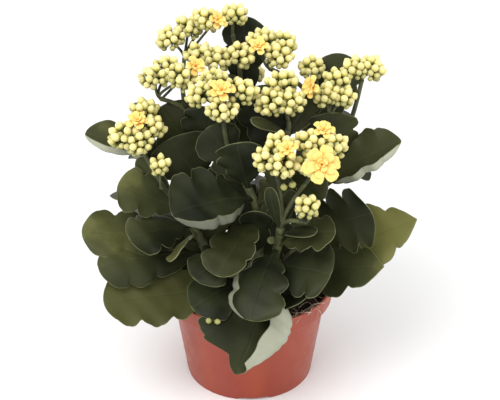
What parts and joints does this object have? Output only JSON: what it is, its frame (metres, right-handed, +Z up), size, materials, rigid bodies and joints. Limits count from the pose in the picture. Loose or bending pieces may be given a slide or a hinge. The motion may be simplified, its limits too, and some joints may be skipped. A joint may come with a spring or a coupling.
{
  "type": "potted kalanchoe",
  "caption": "Flowering succulent houseplant with scalloped leaves and heads of round yellow buds, in a round plastic nursery pot.",
  "frame": {"origin": "centre of the pot's flat underside", "axes": "+Z up through the plant, -Y towards the plant's front"},
  "size_m": [0.2269, 0.1932, 0.2656],
  "materials": {
    "terracotta_plastic": "satin moulded",
    "soil": "crumbly, damp",
    "leaf": "waxy",
    "bud": "waxy",
    "petal": "soft matte"
  },
  "bodies": {
    "root": {"pot": "terracotta_plastic", "soil": "soil", "shoot_back": "leaf", "shoot_back_left": "leaf", "shoot_back_right": "leaf", "shoot_centre": "leaf", "shoot_front": "leaf", "shoot_front_left": "leaf", "shoot_left": "leaf", "shoot_right": "leaf", "head_back_right": "bud", "head_centre": "bud", "head_far_left": "bud", "head_far_right": "bud", "head_front": "bud", "head_front_low": "bud", "head_front_right": "bud", "head_left": "bud", "head_left_low": "bud", "head_middle": "bud", "head_middle_left": "bud", "head_rear": "bud", "head_right": "bud", "head_top": "bud", "head_top_left": "bud", "head_top_right": "bud", "bloom_far_left": "petal", "bloom_front_large": "petal", "bloom_front_left": "petal", "bloom_front_top": "petal", "bloom_left": "petal", "bloom_middle": "petal", "bloom_right": "petal", "bloom_top_left": "petal", "bloom_top_right": "petal"}
  },
  "joints": []
}
